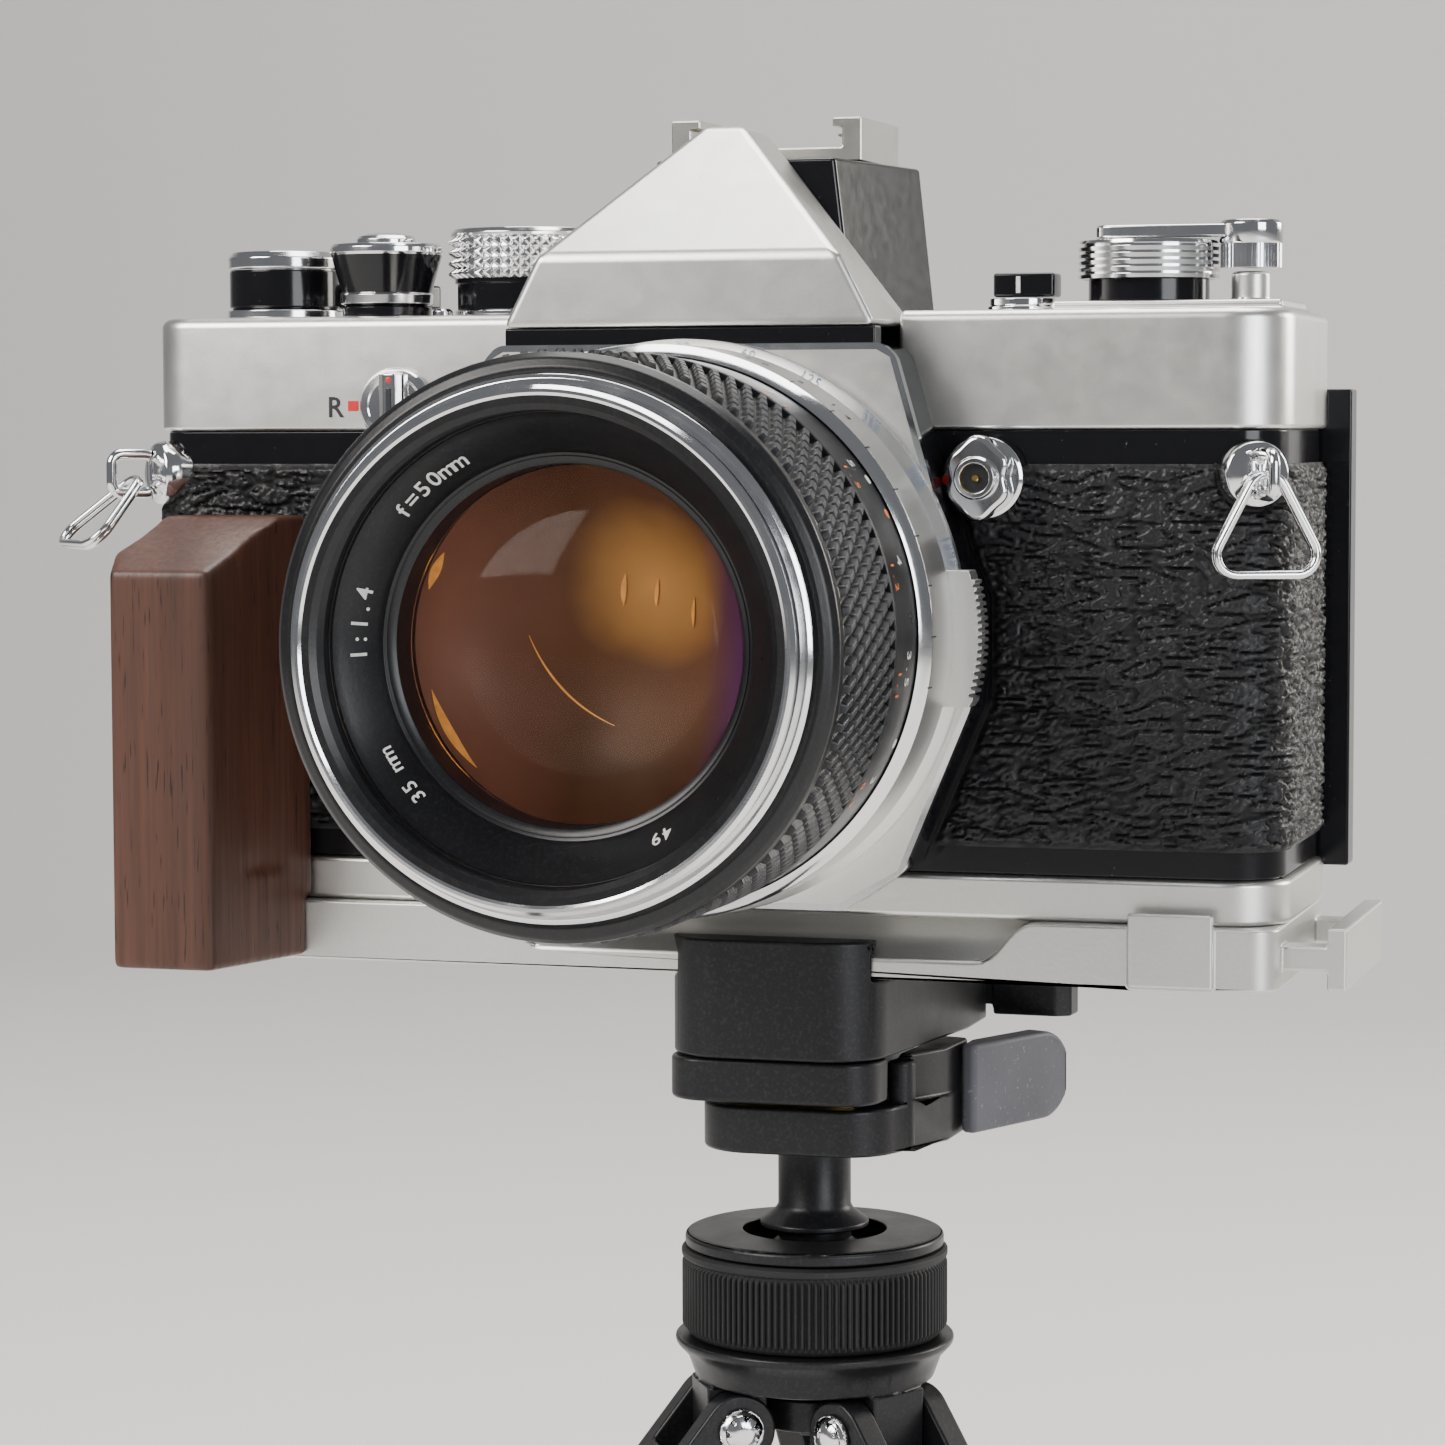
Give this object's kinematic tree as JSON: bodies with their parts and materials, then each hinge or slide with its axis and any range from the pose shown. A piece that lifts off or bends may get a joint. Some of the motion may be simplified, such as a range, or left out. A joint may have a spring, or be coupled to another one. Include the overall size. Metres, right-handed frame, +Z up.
{
  "type": "film camera on tripod",
  "caption": "35 mm single-lens reflex film camera with a wooden finger grip, held by a quick-release plate on a small ball-head table tripod.",
  "frame": {"origin": "on the ground at the centre of the three feet, below the ball head", "axes": "+Z up, -Y the way the lens looks, +X towards the camera's rewind side; the head's axis is X = Y = 0"},
  "size_m": [0.1698, 0.1715, 0.2583],
  "materials": {
    "black_enamel": "matte",
    "black_alloy": "matte",
    "satin_silver": "satin",
    "bright_chrome": "polished",
    "nickel": "satin",
    "steel": "satin",
    "brass": "satin",
    "rubber": "matte",
    "grey_rubber": "matte",
    "walnut": "oiled",
    "leather": "grained",
    "black_gloss": "gloss",
    "fabric": "matte",
    "glass": "coated",
    "mirror": "polished"
  },
  "bodies": {
    "tripod": {"crown": "black_alloy", "ball_seat": "steel", "ball_cap": "black_enamel", "leg_hinge_pins": "bright_chrome"},
    "lock_collar": {"lock_ring": "rubber"},
    "right_leg": {"leg_right": "black_alloy", "foot_right": "rubber"},
    "left_leg": {"leg_left": "black_alloy", "foot_left": "rubber"},
    "back_leg": {"leg_back": "black_alloy", "foot_back": "rubber"},
    "ball_joint": {"ball": "steel"},
    "head_stem": {"stem": "black_enamel"},
    "head": {"pan_housing": "black_alloy", "clamp_body": "black_alloy", "brass_washer": "brass"},
    "pan_lock": {"pan_lever": "black_alloy", "pan_paddle": "grey_rubber"},
    "clamp_handle": {"clamp_lever": "black_enamel"},
    "moving_jaw": {"clamp_jaw": "black_alloy"},
    "film_camera": {"base_plate": "satin_silver", "camera_screw": "steel", "wood_grip": "walnut", "body_casting": "black_alloy", "door_hinge_pin": "steel", "bottom_cover": "satin_silver", "top_cover": "satin_silver", "leather_skins": "leather", "mirror_box": "black_alloy", "front_panel": "satin_silver", "pentaprism": "glass", "shutter_curtain": "fabric", "prism_cover": "satin_silver", "finder_housing": "black_gloss", "accessory_shoe": "nickel", "body_mount": "steel", "lens_base": "satin_silver", "rear_glass": "glass", "release_collar": "bright_chrome", "film_rollers": "black_gloss", "sync_socket": "bright_chrome", "strap_lugs": "bright_chrome"},
    "film_door": {"back_door": "black_alloy", "pressure_plate": "black_enamel"},
    "viewing_mirror": {"reflex_mirror": "mirror"},
    "speed_selector": {"shutter_speed_ring": "black_alloy"},
    "lens_front": {"front_barrel": "black_alloy", "filter_ring": "bright_chrome", "front_glass": "glass"},
    "focus_grip": {"focus_ring": "black_alloy"},
    "aperture_selector": {"aperture_ring": "black_alloy"},
    "advance_lever": {"wind_lever": "bright_chrome"},
    "release": {"shutter_button": "bright_chrome"},
    "film_dial": {"film_speed_dial": "bright_chrome"},
    "rewind": {"rewind_knob": "bright_chrome"},
    "crank": {"rewind_crank": "bright_chrome"},
    "meter": {"meter_switch": "black_gloss"},
    "rewind_catch": {"rewind_release": "bright_chrome"},
    "right_ring": {"strap_ring_right": "bright_chrome"},
    "left_ring": {"strap_ring_left": "bright_chrome"}
  },
  "joints": [
    {"name": "right_leg_fold", "type": "hinge", "parent": "tripod", "child": "right_leg", "pos_m": [0.00953, -0.0055, 0.104], "axis": [0.5, 0.866, 0], "range_deg": [0, 38]},
    {"name": "left_leg_fold", "type": "hinge", "parent": "tripod", "child": "left_leg", "pos_m": [-0.00953, -0.0055, 0.104], "axis": [0.5, -0.866, 0], "range_deg": [0, 38]},
    {"name": "back_leg_fold", "type": "hinge", "parent": "tripod", "child": "back_leg", "pos_m": [0, 0.011, 0.104], "axis": [-1, 0, 0], "range_deg": [0, 38]},
    {"name": "collar_turn", "type": "hinge", "parent": "tripod", "child": "lock_collar", "pos_m": [0, 0, 0.1195], "axis": [0, 0, 1], "range_deg": [-45, 45]},
    {"name": "tilt_forward", "type": "hinge", "parent": "tripod", "child": "ball_joint", "pos_m": [0, 0, 0.1185], "axis": [1, 0, 0], "range_deg": [-15, 15]},
    {"name": "tilt_sideways", "type": "hinge", "parent": "ball_joint", "child": "head_stem", "pos_m": [0, 0, 0.1185], "axis": [0, 1, 0], "range_deg": [-15, 15]},
    {"name": "pan", "type": "hinge", "parent": "head_stem", "child": "head", "pos_m": [0, 0, 0.141], "axis": [0, 0, 1], "continuous": true},
    {"name": "pan_lock_turn", "type": "hinge", "parent": "head", "child": "pan_lock", "pos_m": [0, 0, 0.141], "axis": [0, 0, 1], "range_deg": [0, 35]},
    {"name": "clamp_open", "type": "hinge", "parent": "head", "child": "clamp_handle", "pos_m": [0.0125, 0.0216, 0.153], "axis": [0, 0, 1], "range_deg": [0, 100]},
    {"name": "jaw_slide", "type": "slide", "parent": "head", "child": "moving_jaw", "axis": [0, 1, 0], "range_m": [0, 0.0018]},
    {"name": "plate_slide", "type": "slide", "parent": "head", "child": "film_camera", "axis": [1, 0, 0], "range_m": [-0.011, 0.011]},
    {"name": "door_open", "type": "hinge", "parent": "film_camera", "child": "film_door", "pos_m": [-0.0746, 0.0162, 0.198], "axis": [0, 0, 1], "range_deg": [0, 100]},
    {"name": "mirror_flip", "type": "hinge", "parent": "film_camera", "child": "viewing_mirror", "pos_m": [-0.0073, 0.0045, 0.2145], "axis": [-1, 0, 0], "range_deg": [0, 45]},
    {"name": "speed_turn", "type": "hinge", "parent": "film_camera", "child": "speed_selector", "pos_m": [-0.0073, -0.029, 0.1992], "axis": [0, -1, 0], "range_deg": [-55, 55]},
    {"name": "focus_travel", "type": "slide", "parent": "film_camera", "child": "lens_front", "axis": [0, 1, 0], "range_m": [0, 0.0075]},
    {"name": "focus_turn", "type": "hinge", "parent": "lens_front", "child": "focus_grip", "pos_m": [-0.0073, -0.062, 0.1992], "axis": [0, -1, 0], "range_deg": [0, 200]},
    {"name": "aperture_turn", "type": "hinge", "parent": "lens_front", "child": "aperture_selector", "pos_m": [-0.0073, -0.073, 0.1992], "axis": [0, -1, 0], "range_deg": [-40, 40]},
    {"name": "advance", "type": "hinge", "parent": "film_camera", "child": "advance_lever", "pos_m": [-0.0658, -0.003, 0.238], "axis": [0, 0, 1], "range_deg": [0, 130], "stiffness_Nm_per_rad": 0.01, "springref_deg": -5.73},
    {"name": "release_press", "type": "slide", "parent": "film_camera", "child": "release", "axis": [0, 0, -1], "range_m": [0, 0.0018], "stiffness_N_per_m": 400, "springref_m": -0.0006},
    {"name": "film_dial_turn", "type": "hinge", "parent": "film_camera", "child": "film_dial", "pos_m": [-0.0343, -0.003, 0.242], "axis": [0, 0, 1], "continuous": true},
    {"name": "rewind_turn", "type": "hinge", "parent": "film_camera", "child": "rewind", "pos_m": [0.0403, -0.002, 0.24], "axis": [0, 0, 1], "continuous": true},
    {"name": "crank_fold", "type": "hinge", "parent": "rewind", "child": "crank", "pos_m": [0.0352, -0.002, 0.2438], "axis": [0, -1, 0], "range_deg": [0, 110]},
    {"name": "meter_turn", "type": "hinge", "parent": "film_camera", "child": "meter", "pos_m": [0.0262, -0.005, 0.237], "axis": [0, 0, 1], "range_deg": [0, 70]},
    {"name": "rewind_catch_turn", "type": "hinge", "parent": "film_camera", "child": "rewind_catch", "pos_m": [-0.0458, -0.019, 0.2243], "axis": [0, -1, 0], "range_deg": [0, 90]},
    {"name": "right_ring_swing", "type": "hinge", "parent": "film_camera", "child": "right_ring", "pos_m": [0.0568, -0.01998, 0.2141], "axis": [0.4695, -0.8829, 0], "range_deg": [-60, 60]},
    {"name": "left_ring_lift", "type": "hinge", "parent": "film_camera", "child": "left_ring", "pos_m": [-0.07984, -0.01934, 0.2141], "axis": [-0.7071, 0.7071, 0], "range_deg": [0, 6]}
  ],
  "couplings": [
    {"joint": "jaw_slide", "follows": "clamp_open", "m_per_rad": 0.00103},
    {"joint": "focus_travel", "follows": "focus_turn", "m_per_rad": 0.002148}
  ]
}
